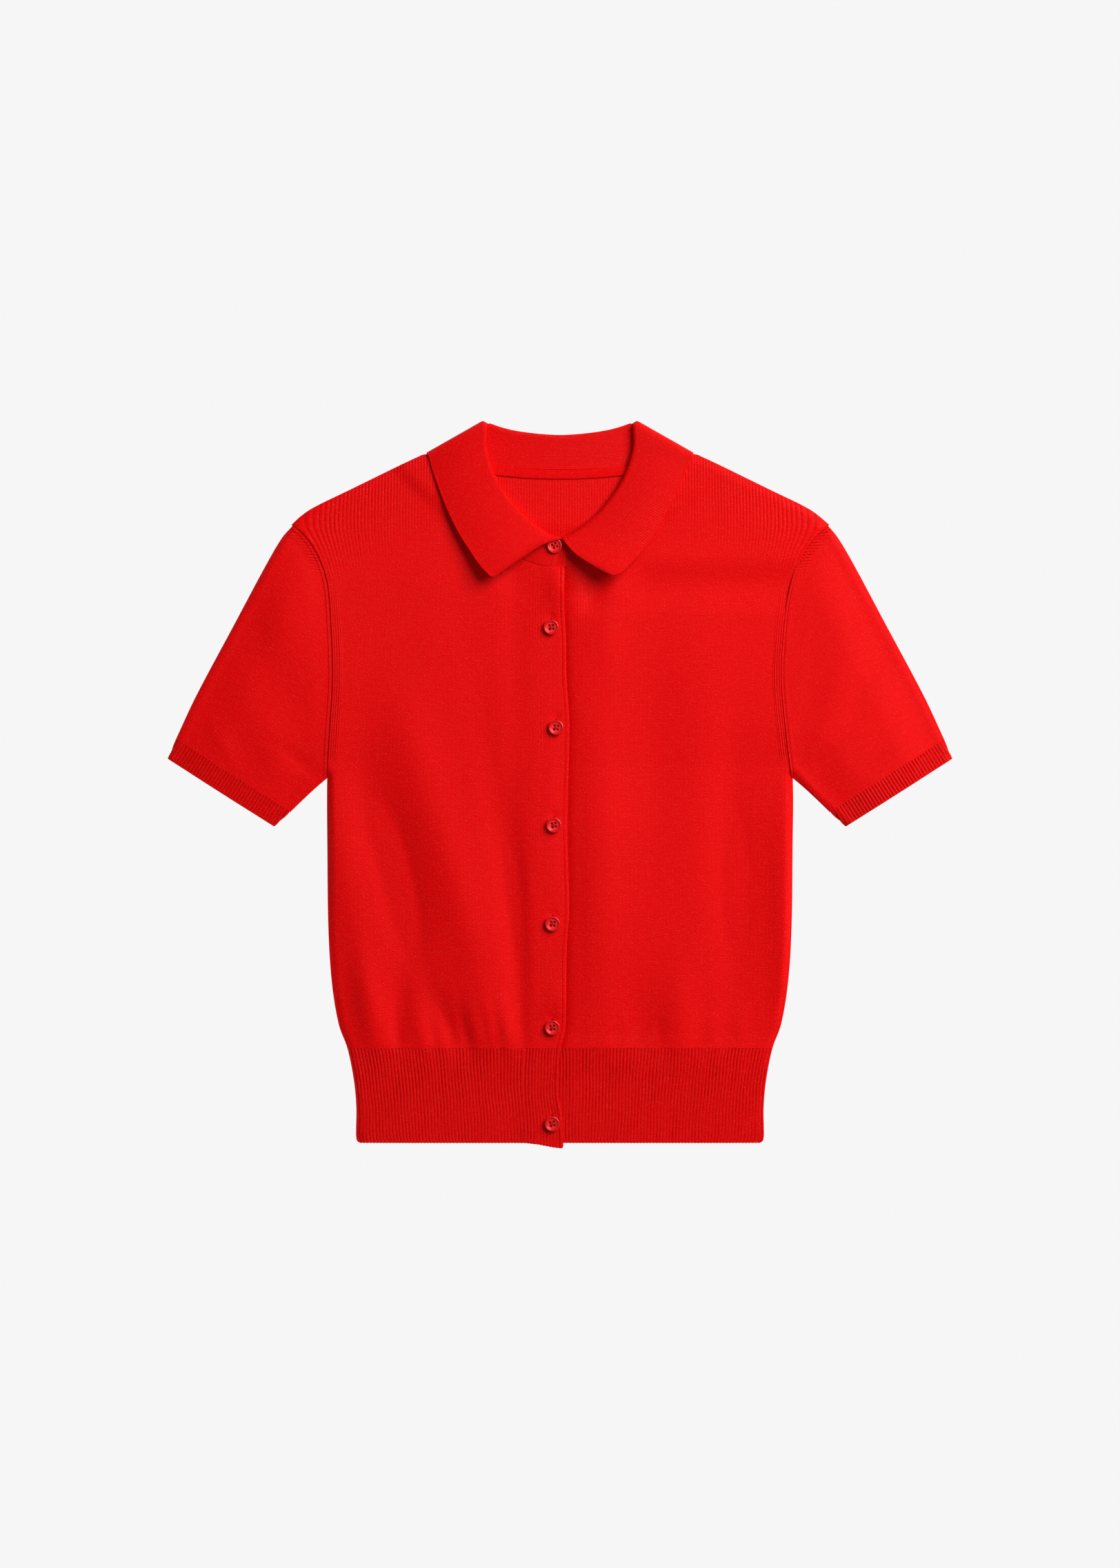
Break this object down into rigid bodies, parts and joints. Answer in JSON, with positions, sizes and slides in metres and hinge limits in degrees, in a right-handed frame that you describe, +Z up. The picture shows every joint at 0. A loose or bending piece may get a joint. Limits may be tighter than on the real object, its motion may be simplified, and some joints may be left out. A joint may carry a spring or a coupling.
{
  "type": "short sleeve knitted cardigan",
  "caption": "Fine-knit short sleeve cardigan with a turn-down collar, buttoned front, deep ribbed hem and ribbed cuffs, laid flat.",
  "frame": {"origin": "on the surface the garment lies on, under the centre of its outline", "axes": "+X towards the wearer's left sleeve, +Y from the hem to the collar, +Z up from the surface, out of the garment's front"},
  "size_m": [0.6152, 0.5693, 0.0116],
  "materials": {
    "knit": "fine matte jersey knit, bright red",
    "rib": "one-by-one ribbed knit, bright red",
    "button": "glossy dyed-to-match red",
    "thread": "dull red sewing thread"
  },
  "bodies": {
    "root": {"back": "knit", "front_right": "knit", "front_left": "knit", "hem_rib_back": "rib", "hem_rib_front_right": "rib", "hem_rib_front_left": "rib", "sleeve_right": "knit", "sleeve_left": "knit", "cuff_right": "rib", "cuff_left": "rib", "collar": "knit", "neck_tape": "knit", "button_1": "button", "button_2": "button", "button_3": "button", "button_4": "button", "button_5": "button", "button_6": "button", "button_7": "button", "button_thread_1": "thread", "button_thread_2": "thread", "button_thread_3": "thread", "button_thread_4": "thread", "button_thread_5": "thread", "button_thread_6": "thread", "button_thread_7": "thread"}
  },
  "joints": []
}
